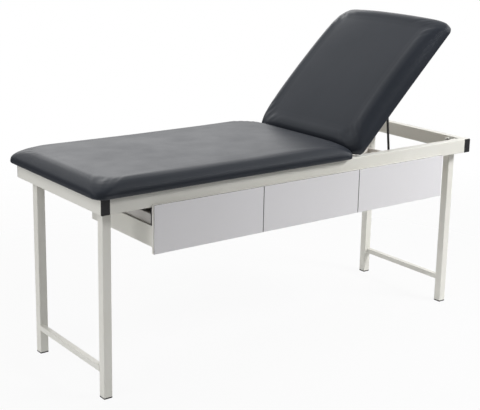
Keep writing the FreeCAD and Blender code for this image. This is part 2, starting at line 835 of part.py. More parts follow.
# Write the drawers
for number, centre in enumerate(drawer_centres(), 1):
    tail = "_" + str(number)
    bay = ((centre - side_plate_inner, 1), (centre + side_plate_inner, -1))
    export("fixed_runners" + tail, group(fixed_runner(x, facing) for x, facing in bay))
    export("moving_runners" + tail, group(moving_runner(x, facing) for x, facing in bay))
    export("drawer_fascia" + tail, fascia(centre))
    export("drawer_sides" + tail, group(box_side(centre, side) for side in (-1, 1)))
    front_wall = (box_front_y, box_front_y + box_wall)
    back_wall = (box_rear_y - box_wall, box_rear_y)
    export("drawer_ends" + tail, group(box_end(centre, span) for span in (front_wall, back_wall)))
    export("drawer_bottom" + tail, box_panel_sheet(centre))
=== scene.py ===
import math

import bpy
import numpy as np
from mathutils import Matrix, Vector, noise
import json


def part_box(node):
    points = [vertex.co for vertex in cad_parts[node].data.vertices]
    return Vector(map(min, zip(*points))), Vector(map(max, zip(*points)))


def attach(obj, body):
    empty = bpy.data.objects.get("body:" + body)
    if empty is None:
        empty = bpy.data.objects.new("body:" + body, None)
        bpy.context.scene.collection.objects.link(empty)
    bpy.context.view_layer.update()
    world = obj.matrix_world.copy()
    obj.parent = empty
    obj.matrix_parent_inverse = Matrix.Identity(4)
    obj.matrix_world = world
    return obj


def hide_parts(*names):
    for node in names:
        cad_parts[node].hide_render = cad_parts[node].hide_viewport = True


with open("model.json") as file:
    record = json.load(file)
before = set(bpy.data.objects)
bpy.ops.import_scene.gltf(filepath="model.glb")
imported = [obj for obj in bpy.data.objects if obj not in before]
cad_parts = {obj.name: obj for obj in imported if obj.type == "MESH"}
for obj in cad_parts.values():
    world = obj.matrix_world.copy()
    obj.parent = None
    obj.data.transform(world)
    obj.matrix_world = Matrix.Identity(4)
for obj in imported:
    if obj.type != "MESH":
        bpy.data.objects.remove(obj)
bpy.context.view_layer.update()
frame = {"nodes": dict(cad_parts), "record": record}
scene = bpy.context.scene
nodes = frame["nodes"]
joints = {joint["name"]: joint for joint in frame["record"]["behaviour"]["joints"]}

# All lengths are in metres.


# Camera, from the photograph's perspective

camera_data = bpy.data.cameras.new("photo_camera")
camera_data.sensor_width = 36.0
camera_data.lens = 79.80
camera_data.shift_x = -0.0167
camera_data.shift_y = -0.0770
camera = bpy.data.objects.new("photo_camera", camera_data)
camera.location = (-2.6705, -3.4005, 1.747)
camera.rotation_euler = [math.radians(turn) for turn in (76.351, -1.206, -37.405)]
scene.collection.objects.link(camera)
scene.camera = camera


# Materials

def math_node(tree, operation, first, second):
    """A math node on two inputs, each a number or a socket."""
    node = tree.nodes.new("ShaderNodeMath")
    node.operation = operation
    for place, value in enumerate((first, second)):
        if isinstance(value, float):
            node.inputs[place].default_value = value
        else:
            tree.links.new(value, node.inputs[place])
    return node.outputs["Value"]


def range_node(tree, value, start, end, low, high, kind="LINEAR"):
    """A value between start and end turned into a number from low to high."""
    node = tree.nodes.new("ShaderNodeMapRange")
    node.interpolation_type = kind
    node.inputs["From Min"].default_value = start
    node.inputs["From Max"].default_value = end
    node.inputs["To Min"].default_value = low
    node.inputs["To Max"].default_value = high
    tree.links.new(value, node.inputs["Value"])
    return node.outputs["Result"]


class Surface:
    """A node material: one shader with procedural colour, roughness and bump."""

    def __init__(self, name, colour, roughness, metallic=0.0, specular=0.5):
        self.material = bpy.data.materials.new(name)
        self.material.use_nodes = True
        self.tree = self.material.node_tree
        self.shader = self.tree.nodes["Principled BSDF"]
        self.shader.inputs["Base Color"].default_value = (*colour, 1.0)
        self.shader.inputs["Roughness"].default_value = roughness
        self.shader.inputs["Metallic"].default_value = metallic
        self.shader.inputs["Specular IOR Level"].default_value = specular
        coordinates = self.tree.nodes.new("ShaderNodeTexCoord")
        self.place = coordinates.outputs["Object"]
        self.height = None

    def link(self, source, target):
        self.tree.links.new(source, target)

    def stretched(self, scale):
        """Object coordinates stretched by (x, y, z)."""
        mapping = self.tree.nodes.new("ShaderNodeMapping")
        mapping.inputs["Scale"].default_value = scale
        self.link(self.place, mapping.inputs["Vector"])
        return mapping.outputs["Vector"]

    def noise(self, scale, detail=2.0, place=None, rough=0.5):
        node = self.tree.nodes.new("ShaderNodeTexNoise")
        node.inputs["Scale"].default_value = scale
        node.inputs["Detail"].default_value = detail
        node.inputs["Roughness"].default_value = rough
        self.link(place or self.place, node.inputs["Vector"])
        return node.outputs["Fac"]

    def cells(self, scale):
        node = self.tree.nodes.new("ShaderNodeTexVoronoi")
        node.inputs["Scale"].default_value = scale
        node.feature = "SMOOTH_F1"
        self.link(self.place, node.inputs["Vector"])
        return node.outputs["Distance"]

    def colours(self, value, first, second, start=0.3, end=0.7):
        """Colours from first to second as the value goes from start to end."""
        node = self.tree.nodes.new("ShaderNodeValToRGB")
        node.color_ramp.elements[0].position = start
        node.color_ramp.elements[1].position = end
        node.color_ramp.elements[0].color = (*first, 1.0)
        node.color_ramp.elements[1].color = (*second, 1.0)
        self.link(value, node.inputs["Fac"])
        self.link(node.outputs["Color"], self.shader.inputs["Base Color"])

    def roughness(self, value, low, high):
        self.link(range_node(self.tree, value, 0.3, 0.7, low, high), self.shader.inputs["Roughness"])

    def bump(self, value, strength, distance):
        """Adds a layer of relief over those before it."""
        node = self.tree.nodes.new("ShaderNodeBump")
        node.inputs["Strength"].default_value = strength
        node.inputs["Distance"].default_value = distance
        self.link(value, node.inputs["Height"])
        if self.height:
            self.link(self.height, node.inputs["Normal"])
        self.height = node.outputs["Normal"]
        self.link(self.height, self.shader.inputs["Normal"])


def make_vinyl():
    s = Surface("vinyl_charcoal", (0.022, 0.0255, 0.033), 0.36)
    s.shader.inputs["Specular Tint"].default_value = (0.95, 0.975, 1.0, 1.0)
    s.colours(s.noise(3.5, 3.0), (0.020, 0.0235, 0.0305), (0.024, 0.0275, 0.0355))
    s.roughness(s.noise(9.0, 4.0), 0.33, 0.39)
    s.bump(s.noise(14.0, 2.0), 0.16, 0.0012)
    s.bump(s.cells(620.0), 0.16, 0.0004)
    s.bump(s.noise(1500.0, 2.0), 0.12, 0.0002)
    return s.material


def make_cream():
    s = Surface("powder_coat_cream", (0.79, 0.78, 0.725), 0.36)
    s.colours(s.noise(5.0, 3.0), (0.775, 0.765, 0.705), (0.805, 0.795, 0.745))
    s.roughness(s.noise(22.0, 3.0), 0.31, 0.42)
    s.bump(s.noise(420.0, 2.0), 0.14, 0.0003)
    return s.material


def make_black_coat():
    s = Surface("powder_coat_black", (0.03, 0.03, 0.032), 0.4)
    s.colours(s.noise(30.0, 3.0), (0.024, 0.024, 0.026), (0.036, 0.036, 0.039))
    s.roughness(s.noise(60.0, 3.0), 0.34, 0.46)
    s.bump(s.noise(500.0, 2.0), 0.15, 0.0003)
    return s.material


def make_zinc():
    s = Surface("zinc_plate", (0.62, 0.62, 0.60), 0.34, metallic=1.0)
    s.colours(s.noise(70.0, 4.0), (0.55, 0.55, 0.53), (0.68, 0.68, 0.66))
    s.roughness(s.noise(160.0, 3.0), 0.26, 0.44)
    s.bump(s.noise(260.0, 3.0, s.stretched((1.0, 6.0, 6.0))), 0.12, 0.0002)
    return s.material


def make_fascia():
    s = Surface("melamine_grey", (0.78, 0.77, 0.785), 0.40)
    s.colours(s.noise(2.5, 2.0), (0.77, 0.76, 0.775), (0.79, 0.78, 0.80))
    s.roughness(s.noise(35.0, 3.0), 0.36, 0.46)
    s.bump(s.noise(700.0, 2.0), 0.10, 0.0002)
    return s.material


def make_box_board():
    s = Surface("foil_pale_grey", (0.74, 0.72, 0.69), 0.5)
    grain = s.noise(26.0, 4.0, s.stretched((1.0, 1.0, 16.0)))
    s.colours(grain, (0.70, 0.68, 0.65), (0.77, 0.755, 0.73))
    s.roughness(s.noise(40.0, 2.0), 0.44, 0.56)
    s.bump(grain, 0.08, 0.0003)
    return s.material


def make_plywood():
    s = Surface("plywood_sanded", (0.55, 0.42, 0.27), 0.62)
    grain = s.noise(18.0, 6.0, s.stretched((1.0, 14.0, 14.0)), 0.62)
    s.colours(grain, (0.40, 0.28, 0.16), (0.66, 0.52, 0.35), 0.34, 0.66)
    s.roughness(grain, 0.55, 0.72)
    s.bump(grain, 0.20, 0.0006)
    return s.material


def make_plastic():
    s = Surface("moulded_black", (0.02, 0.02, 0.021), 0.48)
    s.colours(s.noise(40.0, 3.0), (0.017, 0.017, 0.018), (0.026, 0.026, 0.028))
    s.roughness(s.noise(90.0, 2.0), 0.42, 0.55)
    s.bump(s.noise(900.0, 2.0), 0.2, 0.0003)
    return s.material


def make_nylon():
    s = Surface("nylon_white", (0.72, 0.71, 0.68), 0.42)
    s.colours(s.noise(50.0, 2.0), (0.69, 0.68, 0.65), (0.75, 0.74, 0.71))
    s.roughness(s.noise(120.0, 2.0), 0.36, 0.5)
    s.bump(s.noise(600.0, 2.0), 0.1, 0.0002)
    return s.material


def make_edging():
    s = Surface("edging_pale", (0.80, 0.785, 0.745), 0.38)
    s.colours(s.noise(18.0, 2.0), (0.785, 0.77, 0.73), (0.81, 0.80, 0.76))
    s.roughness(s.noise(80.0, 2.0), 0.34, 0.44)
    s.bump(s.noise(600.0, 2.0), 0.08, 0.0002)
    return s.material


# Near-black paint for the painted shadow line along the drawer fronts' front edges.
def make_shadow_line_paint():
    s = Surface("painted_shadow_line", (0.10, 0.085, 0.07), 0.6)
    s.colours(s.noise(120.0, 2.0), (0.085, 0.07, 0.055), (0.12, 0.10, 0.085))
    s.roughness(s.noise(90.0, 2.0), 0.5, 0.7)
    return s.material


def make_cloth():
    s = Surface("cloth_black", (0.012, 0.012, 0.013), 0.85, specular=0.2)
    weave = s.noise(900.0, 2.0, s.stretched((1.0, 3.0, 1.0)))
    s.colours(weave, (0.009, 0.009, 0.010), (0.017, 0.017, 0.018))
    s.roughness(s.noise(200.0, 2.0), 0.78, 0.92)
    s.bump(weave, 0.3, 0.0003)
    return s.material


materials = {
    "upholstery": make_vinyl(),
    "cream_steel": make_cream(),
    "black_steel": make_black_coat(),
    "zinc_steel": make_zinc(),
    "fascia_board": make_fascia(),
    "box_board": make_box_board(),
    "plywood": make_plywood(),
    "black_plastic": make_plastic(),
}
nylon = make_nylon()
edging = make_edging()
# paint for the drawer fronts' painted shadow line
shadow_line_paint = make_shadow_line_paint()
cloth = make_cloth()

for part in frame["record"]["subparts"]:
    node = nodes[part["node"]]
    for place in range(len(node.material_slots)):
        node.material_slots[place].link = "OBJECT"
        node.material_slots[place].material = materials[part["material_slot"]]


# Softened edges on the rigid nodes

WELD_DISTANCE = 0.00002
NODE_EDGE_ANGLE = math.radians(50)
TRIM_EDGE_ANGLE = math.radians(40)
EDGE_WIDTHS = {
    "drawer_": 0.0006, "seat_board": 0.0008, "backrest_board": 0.0008, "carriage_": 0.0005,
    "hinge_": 0.0004, "prop_racks": 0.0006, "rail_end_caps": 0.0008, "foot_plugs": 0.0008,
    "fixed_runners": 0.0004, "moving_runners": 0.0004, "leg_bolts": 0.0005, "seat_bolts": 0.0004,
}
for name, node in nodes.items():
    for start, width in EDGE_WIDTHS.items():
        if name.startswith(start):
            weld = node.modifiers.new("weld", "WELD")
            weld.merge_threshold = WELD_DISTANCE
            bevel = node.modifiers.new("bevel", "BEVEL")
            bevel.width = width
            bevel.segments = 2
            bevel.limit_method = "ANGLE"
            bevel.angle_limit = NODE_EDGE_ANGLE
            shading = node.modifiers.new("shading", "WEIGHTED_NORMAL")
            shading.keep_sharp = False
            break


# Helpers

SCREW_STEPS = 24
SCREW_SINK = 0.0002
SCREW_SHARES = (1.0, 0.93, 0.8, 0.64, 0.6, 0.42, 0.2, 0.05)
RECESS_HALF = 0.16
RECESS_REACH = 0.62
RECESS_DEPTH = 0.45
SCREW_RIM = 0.35
WASHER_STEPS = 28
BEAD_SIDES = 8
BEAD_STEP = 0.0012


def new_object(name, vertices, faces):
    """A mesh object in the scene."""
    mesh = bpy.data.meshes.new(name)
    mesh.from_pydata([tuple(v) for v in vertices], [], faces)
    mesh.update()
    made = bpy.data.objects.new(name, mesh)
    scene.collection.objects.link(made)
    return made


def finish_piece(piece, slot, body, smooth=True, material=None):
    """Gives a piece the material of its slot, or the one given, and hangs it under its body."""
    mesh = piece.data
    mesh.materials.clear()
    mesh.materials.append(material or materials[slot])
    mesh.polygons.foreach_set("use_smooth", [smooth] * len(mesh.polygons))
    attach(piece, body)


def volume(vertices, faces):
    """The signed volume of a closed solid, above zero when its faces look outwards."""
    first = vertices[0]
    total = 0.0
    for face in faces:
        a = vertices[face[0]] - first
        for second, third in zip(face[1:], face[2:]):
            total += a.dot((vertices[second] - first).cross(vertices[third] - first))
    return total / 6


class Builder:
    """Collects vertices and faces of several closed solids for one piece."""

    def __init__(self):
        self.vertices = []
        self.faces = []

    def add(self, vertices, faces):
        """Adds a closed solid, with its faces turned outwards."""
        first = len(self.vertices)
        vertices = [Vector(v) for v in vertices]
        if volume(vertices, faces) < 0.0:
            faces = [face[::-1] for face in faces]
        self.vertices.extend(vertices)
        self.faces.extend([first + corner for corner in face] for face in faces)

    def rings(self, rings):
        """Joins rings of equal count into a tube with a cap at each end."""
        count = len(rings[0])
        vertices = [v for ring in rings for v in ring]
        faces = []
        for row in range(len(rings) - 1):
            for column in range(count):
                after = (column + 1) % count
                faces.append((row * count + column, row * count + after,
                              (row + 1) * count + after, (row + 1) * count + column))
        faces.append(tuple(reversed(range(count))))
        faces.append(tuple(range((len(rings) - 1) * count, len(rings) * count)))
        self.add(vertices, faces)

    def piece(self, name, slot, body, smooth=True, material=None, bevel=0.0):
        made = new_object(name, self.vertices, self.faces)
        finish_piece(made, slot, body, smooth, material)
        if bevel:
            edge = made.modifiers.new("bevel", "BEVEL")
            edge.width = bevel
            edge.segments = 2
            edge.limit_method = "ANGLE"
            edge.angle_limit = TRIM_EDGE_ANGLE
            made.modifiers.new("shading", "WEIGHTED_NORMAL")
        return made


def axes_for(direction):
    """A direction, and two that are square to it and to each other."""
    forward = Vector(direction).normalized()
    other = Vector((0, 0, 1)) if abs(forward.z) < 0.9 else Vector((1, 0, 0))
    across = forward.cross(other).normalized()
    return forward, across, forward.cross(across)


def circle(centre, across, up, radius, count):
    """A ring of points about centre, in the plane of across and up."""
    return [centre + (across * math.cos(math.tau * k / count)
                      + up * math.sin(math.tau * k / count)) * radius for k in range(count)]


def lathe(builder, base, direction, profile, count):
    """Turns (radius, height) pairs about a line from base along direction."""
    forward, across, up = axes_for(direction)
    builder.rings([circle(Vector(base) + forward * height, across, up, radius, count)
                   for radius, height in profile])


def screw_head(builder, base, direction, radius=0.0038, height=0.0023):
    """A domed screw head with a cross recess; base lies on the surface."""
    forward, across, up = axes_for(direction)
    rings = [[point - forward * SCREW_SINK
              for point in circle(Vector(base), across, up, radius, SCREW_STEPS)]]
    for share in SCREW_SHARES:
        ring = []
        for k in range(SCREW_STEPS):
            angle = math.tau * k / SCREW_STEPS
            x = math.cos(angle) * radius * share
            y = math.sin(angle) * radius * share
            rise = height * (SCREW_RIM + (1 - SCREW_RIM) * math.sqrt(max(0.0, 1 - share ** 2.4)))
            narrow, wide = sorted((abs(x), abs(y)))
            if narrow < radius * RECESS_HALF and wide < radius * RECESS_REACH:
                rise -= height * RECESS_DEPTH
            ring.append(Vector(base) + across * x + up * y + forward * rise)
        rings.append(ring)
    builder.rings(rings)


def washer(builder, base, direction, inner, outer, thickness):
    """A flat ring that lies on base, with an eased outer edge."""
    forward, across, up = axes_for(direction)
    profile = [(inner, 0), (outer, 0), (outer, thickness * 0.7),
               (outer - thickness * 0.3, thickness), (inner, thickness)]
    vertices = []
    faces = []
    for radius, height in profile:
        vertices += circle(Vector(base) + forward * height, across, up, radius, WASHER_STEPS)
    rows = len(profile)
    for row in range(rows):
        here = row * WASHER_STEPS
        below = (row + 1) % rows * WASHER_STEPS
        for k in range(WASHER_STEPS):
            after = (k + 1) % WASHER_STEPS
            faces.append((here + k, here + after, below + after, below + k))
    builder.add(vertices, faces)


def bead(builder, start, end, radius, seed):
    """A weld bead with the ripples that a welder leaves."""
    start = Vector(start)
    end = Vector(end)
    forward, across, up = axes_for(end - start)
    steps = max(8, int((end - start).length / BEAD_STEP))
    rings = []
    for step in range(steps + 1):
        along = step / steps
        taper = min(1.0, 6 * along + 0.25, 6 * (1 - along) + 0.25)
        ripple = 1 + 0.13 * math.sin(step * 2.1) + 0.10 * noise.noise((seed, step * 0.35, 0.5))
        rings.append(circle(start.lerp(end, along), across, up, radius * taper * ripple, BEAD_SIDES))
    builder.rings(rings)


# Places that the pieces share, read from the frame

PAD_GAP = 0.0003

seat_low, seat_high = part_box("seat_pad")
board_low, board_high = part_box("seat_board")
rail_low, rail_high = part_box("side_rail_near")
rail_top = rail_high[2]
hinge = Vector(joints["backrest_tilt"]["pos_m"])
rest_angle = math.radians(-joints["backrest_tilt"]["range_deg"][0])
backrest_low, backrest_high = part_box("backrest_pad")
middle_y = (seat_low[1] + seat_high[1]) / 2
seat_half = (seat_high[1] - seat_low[1]) / 2
backrest_half = (backrest_high[1] - backrest_low[1]) / 2
pad_underside = rail_top + PAD_GAP
swing = (Matrix.Translation(hinge) @ Matrix.Rotation(rest_angle, 4, Vector((0, -1, 0)))
         @ Matrix.Translation(-hinge))


# Upholstery

PAD_EDGE_STEPS = 56
PAD_ARC_STEPS = 12
PAD_RISE_STEPS = 12
PAD_CORNER = 0.046
CORNER_GROWTH = 1.8
CORNER_SHARE = 0.8
PAD_DRAW = 0.003
EDGE_REACH = 0.055
EDGE_POWER = 1.85
WIDEST = 0.26
FOAM = 0.0602
BACKREST_EXTRA_FOAM = 0.006
BACKREST_DOME = 0.024
CROWN = 0.0038
VOXEL = 0.006
SWELL = 0.0035
START_INSET = 0.0030
COVER = 0.0012
SHOULDER_LOSS = 0.0041
SHOULDER_INSETS = (0.0, 0.010, 0.030, 0.050, 0.070, 0.090)
SHOULDER_SHARES = (0.6, 0.82, 1.0, 0.73, 0.19, 0.0)
SHOULDER_CORNER = 0.080
SHOULDER_FOOT = (0.008, 0.028)
BACKREST_FILL = 0.003
BACKREST_PAD_SPAN = (-0.012, 0.718)
START_FOAM = FOAM - 0.002
UNDERSIDE_ROWS = ((0.0055, 0.0), (0.0030, 0.06), (0.0012, 0.13))
TOP_ROWS = ((0.09, 0.38), (0.18, 0.65), (0.34, 0.88), (0.51, 1.0), (0.75, 1.0))
HELD_HEIGHT = 0.006
CLOTH_FRAMES = 20
WAVE_START = 0.7
SLOW_WAVE = 0.0007
FINE_WAVE = 0.0001
WAVE_BLEND = 0.01
RELIEF_REACH = 0.005
RELIEF_HEIGHT = 0.0153


def pad_ring(low, high, half, inset, corner, z):
    """A pad's outline at one height, drawn in along its long sides."""
    a = low + inset
    b = high - inset
    h = half - inset
    r = min(corner, CORNER_SHARE * h)
    corners = [(b - r, h - r, 0), (a + r, h - r, 90), (a + r, r - h, 180), (b - r, r - h, 270)]
    ring = []
    for number, (x, y, turn) in enumerate(corners):
        for step in range(PAD_ARC_STEPS + 1):
            angle = math.radians(turn + 90 * step / PAD_ARC_STEPS)
            ring.append((x + r * math.cos(angle), y + r * math.sin(angle)))
        following = corners[(number + 1) % 4]
        angle = math.radians(following[2])
        target = (following[0] + r * math.cos(angle), following[1] + r * math.sin(angle))
        here = ring[-1]
        for step in range(1, PAD_EDGE_STEPS):
            share = step / PAD_EDGE_STEPS
            ring.append((here[0] + (target[0] - here[0]) * share,
                         here[1] + (target[1] - here[1]) * share))
    centre = (a + b) / 2
    reach = (b - a) / 2
    drawn = []
    for x, y in ring:
        pull = PAD_DRAW * (1 - min(1.0, abs(x - centre) / reach) ** 2)
        y -= math.copysign(pull, y) * min(1.0, abs(y) / h)
        drawn.append(Vector((x, middle_y + y, z)))
    return drawn


def pad_start(name, low, high, half):
    """The slightly small closed form that swells into a pad."""
    rings = []
    for inset, rise in UNDERSIDE_ROWS:
        rings.append(pad_ring(low, high, half, START_INSET + inset, PAD_CORNER - inset,
                              pad_underside + rise * START_FOAM))
    for step in range(PAD_RISE_STEPS + 1):
        climb = math.sin(math.pi / 2 * step / PAD_RISE_STEPS)
        inset = EDGE_REACH * (1 - (1 - climb ** EDGE_POWER) ** (1 / EDGE_POWER))
        z = pad_underside + START_FOAM * (WIDEST + (1 - WIDEST) * climb)
        rings.append(pad_ring(low, high, half, START_INSET + inset,
                              PAD_CORNER + CORNER_GROWTH * inset, z))
    corner = PAD_CORNER + CORNER_GROWTH * EDGE_REACH
    for share, lift in TOP_ROWS:
        inset = EDGE_REACH + share * (half - EDGE_REACH)
        rings.append(pad_ring(low, high, half, START_INSET + inset, corner,
                              pad_underside + START_FOAM + lift * CROWN))
    builder = Builder()
    builder.rings(rings)
    return new_object(name, builder.vertices, builder.faces)


def evaluated(piece):
    """The piece's mesh with its modifiers applied."""
    depsgraph = bpy.context.evaluated_depsgraph_get()
    return bpy.data.meshes.new_from_object(piece.evaluated_get(depsgraph))


def set_mesh(piece, mesh):
    """Gives the piece a mesh that has its modifiers in it already."""
    piece.modifiers.clear()
    piece.data = mesh


def points_of(mesh):
    """The mesh's vertices as rows of x, y and z."""
    flat = np.empty(len(mesh.vertices) * 3)
    mesh.vertices.foreach_get("co", flat)
    return flat.reshape(-1, 3)


def put_points(mesh, points):
    mesh.vertices.foreach_set("co", points.ravel())
    mesh.update()


def inflate(piece):
    """Remeshes the form evenly and swells it like a cover over foam, with its underside held."""
    remesh = piece.modifiers.new("remesh", "REMESH")
    remesh.mode = "VOXEL"
    remesh.voxel_size = VOXEL
    smooth = piece.modifiers.new("smooth", "SMOOTH")
    smooth.factor = 0.5
    smooth.iterations = 3
    set_mesh(piece, evaluated(piece))
    before = points_of(piece.data)
    held = piece.vertex_groups.new(name="held")
    low = np.nonzero(before[:, 2] < pad_underside + HELD_HEIGHT)[0]
    held.add([int(index) for index in low], 1.0, "REPLACE")
    cloth = piece.modifiers.new("cloth", "CLOTH")
    cloth.settings.quality = 3
    cloth.settings.mass = 0.3
    cloth.settings.use_pressure = True
    cloth.settings.uniform_pressure_force = 4.0
    cloth.settings.effector_weights.gravity = 0.0
    cloth.settings.vertex_group_mass = "held"
    for number in range(1, CLOTH_FRAMES + 1):
        scene.frame_set(number)
    set_mesh(piece, evaluated(piece))
    scene.frame_set(1)
    moved = points_of(piece.data) - before
    far = np.linalg.norm(moved, axis=1, keepdims=True)
    moved *= np.minimum(1.0, SWELL / np.maximum(far, 1e-9))
    put_points(piece.data, before + moved)
    piece.vertex_groups.clear()
    ease = piece.modifiers.new("ease", "SMOOTH")
    ease.factor = 0.5
    ease.iterations = 2
    set_mesh(piece, evaluated(piece))


def fit_points(points, low, high, half, top):
    """Brings the swollen form to the pad's own length, width and height, on its board."""
    spans = ((low, high), (middle_y - half, middle_y + half), (pad_underside, top))
    for axis, (start, end) in enumerate(spans):
        least = points[:, axis].min()
        most = points[:, axis].max()
        points[:, axis] = start + (points[:, axis] - least) * (end - start) / (most - least)
    return points


def fill_shoulders(points, low, high, half, lift):
    """Raises the round shoulders, which the swelling and the fit leave too low."""
    over_x = np.abs(points[:, 0] - (low + high) / 2) - (high - low) / 2 + SHOULDER_CORNER
    over_y = np.abs(points[:, 1] - middle_y) - half + SHOULDER_CORNER
    outside = np.hypot(np.maximum(over_x, 0.0), np.maximum(over_y, 0.0))
    inset = SHOULDER_CORNER - outside - np.minimum(np.maximum(over_x, over_y), 0.0)
    share = np.interp(inset, SHOULDER_INSETS, SHOULDER_SHARES)
    share *= np.interp(points[:, 2] - pad_underside, SHOULDER_FOOT, (0.0, 1.0))
    points[:, 2] += lift * share


def hand_made(points, seed):
    """The slow and the fine waves that a hand-stretched cover has on its top."""
    top = pad_underside + FOAM * WAVE_START
    for index in range(len(points)):
        x, y, z = points[index]
        if z > top:
            wave = noise.noise((x * 5.0 + seed, y * 5.0, 0.3)) * SLOW_WAVE
            wave += noise.noise((x * 19.0, y * 19.0 + seed, 1.7)) * FINE_WAVE
            points[index, 2] = z + wave * min(1.0, (z - top) / WAVE_BLEND)


def dome(points, low, high, half, height, rise):
    """Raises the form by its share of a dome, most in the middle and none at the hinge end."""
    along = (2 * points[:, 0] - low - high) / (high - low)
    across = (points[:, 1] - middle_y) / half
    share = 1 - np.where(along < 0, along, along * across) ** 2
    up = np.clip((points[:, 2] - pad_underside) / height, 0.0, 1.0)
    points[:, 2] += rise * share * up


def make_pad(name, node, low, high, half, seed, body="frame", relief=None,
             extra=0.0, rise=0.0, fill=0.0):
    """A cushion in place of its node: swollen, fitted, filled, and given its waves and dome."""
    piece = pad_start(name, low, high, half)
    inflate(piece)
    points = fit_points(points_of(piece.data), low, high, half + COVER,
                        pad_underside + FOAM + CROWN + extra)
    fill_shoulders(points, low, high, half, fill + SHOULDER_LOSS)
    hand_made(points, seed)
    if rise:
        dome(points, low, high, half, FOAM + extra, rise)
    if relief:
        relief(points)
    put_points(piece.data, points)
    if body == "backrest":
        piece.data.transform(swing)
    soft = piece.modifiers.new("soft", "SUBSURF")
    soft.levels = 1
    soft.render_levels = 1
    finish_piece(piece, "upholstery", body)
    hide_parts(node)


def hinge_relief(points):
    """Slopes the underside up over the hinges, where the backrest swings over them."""
    edge = hinge.x + RELIEF_REACH
    ceiling = rail_top + RELIEF_HEIGHT
    near = points[:, 0] < edge
    floor = np.where(points[:, 0] < hinge.x, ceiling + (hinge.x - points[:, 0]), ceiling)
    blend = np.clip((edge - points[:, 0]) / RELIEF_REACH, 0.0, 1.0)
    floor = pad_underside + (floor - pad_underside) * blend
    points[:, 2] = np.where(near & (points[:, 2] < floor), floor, points[:, 2])


make_pad("seat_cushion", "seat_pad", seat_low[0], seat_high[0], seat_half, 3.1)
make_pad("backrest_cushion", "backrest_pad", hinge.x + BACKREST_PAD_SPAN[0],
         hinge.x + BACKREST_PAD_SPAN[1], backrest_half, 8.6, "backrest", hinge_relief,
         BACKREST_EXTRA_FOAM, BACKREST_DOME, BACKREST_FILL)


# Trim of the seat and the backrest

BACKREST_BOARD_SPAN = (0.003, 0.704)
BOARD_INSET = 0.014
HEM_INSIDE = 0.262
HEM_THICKNESS = 0.0003
HEM_LIP = 0.0148
HEM_PROUD = 0.0005
HEM_BITE = 0.0002
HEM_STEP = 0.008
HEM_WAVE = 0.0001
CUT_WAVE = 0.0016
CUT_ROUGHNESS = 0.0007
CUT_BEVEL = 0.0006
END_HEM = 0.050
HEAD_HEM = 0.036
FLAT_FOLD = 0.0002
FULL_FOLD = 0.0007
FOLDS = 3
FOLD_STEPS = 9
FOLD_ROWS = ((1.0, 0.5), (0.93, 0.9), (0.6, 1.0), (0.3, 0.7), (0.06, 0.2))
CORNER_STAPLES = ((0.45, 0.42), (1.05, 0.55))
STAPLE_LENGTH = 0.0105
STAPLE_WIRE = 0.00055
STAPLE_DEPTH = 0.0008
STAPLE_SIDES = 8
STAPLE_SPACING = 0.034
STAPLE_FROM_CUT = 0.008
STAPLE_SLIP = 0.0022
STAPLE_SKEW = 0.35
HEAD_RAIL_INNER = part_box("end_rail_head")[0][0]
HEAD_RAIL_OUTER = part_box("end_rail_head")[1][0]


def staple(builder, x, y, z, turn):
    """The crown of a staple, pressed into the cover under a board."""
    half = STAPLE_LENGTH / 2
    way = Vector((math.cos(turn), math.sin(turn), 0.0))
    side = Vector((-way.y, way.x, 0.0))
    rings = []
    for along, drop in ((-1.0, -STAPLE_DEPTH), (-1.0, 0.0), (-0.86, STAPLE_WIRE),
                        (0.86, STAPLE_WIRE), (1.0, 0.0), (1.0, -STAPLE_DEPTH)):
        centre = Vector((x, y, z)) + way * half * along - Vector((0, 0, drop))
        tall = STAPLE_WIRE * (0.7 if abs(along) > 0.9 else 1.0)
        rings.append([centre + side * STAPLE_WIRE * math.cos(math.tau * k / STAPLE_SIDES)
                      + Vector((0, 0, 1)) * tall * math.sin(math.tau * k / STAPLE_SIDES)
                      for k in range(STAPLE_SIDES)])
    builder.rings(rings)


def hem(builder, staples, start, end, inward, width, seed):
    """A folded strip of cover with a hand-cut inner edge, from start to end under a board."""
    start = Vector(start)
    end = Vector(end)
    way = (end - start).normalized()
    inward = Vector(inward)
    length = (end - start).length
    steps = int(length / HEM_STEP)
    rings = []
    for step in range(steps + 1):
        point = start.lerp(end, step / steps)
        cut = (width + CUT_WAVE * noise.noise((step * 0.31, seed, 0.2))
               + CUT_ROUGHNESS * noise.noise((step * 1.7, seed, 4.0)))
        below = Vector((0, 0, -HEM_THICKNESS - HEM_WAVE * noise.noise((step * 0.9, seed, 7.0))))
        above = Vector((0, 0, HEM_BITE))
        outward = inward * -HEM_PROUD
        raised = Vector((0, 0, HEM_LIP))
        rings.append([point + raised, point + raised + outward, point + outward + below,
                      point + inward * (cut - CUT_BEVEL) + below,
                      point + inward * cut + below * 0.4, point + inward * cut + above,
                      point + inward * HEM_BITE + above])
    builder.rings(rings)
    count = int(length / STAPLE_SPACING)
    for number in range(count):
        along = (number + 0.5) / count
        slip = STAPLE_SLIP * noise.noise((number * 0.77, seed, 9.0))
        point = start.lerp(end, along) + inward * (width - STAPLE_FROM_CUT + slip)
        if HEAD_RAIL_INNER - STAPLE_LENGTH < point.x < HEAD_RAIL_OUTER + STAPLE_LENGTH:
            continue  # the board lies on the head rail here when it is flat
        turn = math.atan2(way.y, way.x) + STAPLE_SKEW * noise.noise((number * 1.3, seed, 5.5))
        staple(staples, point.x, point.y, point.z - HEM_THICKNESS, turn)


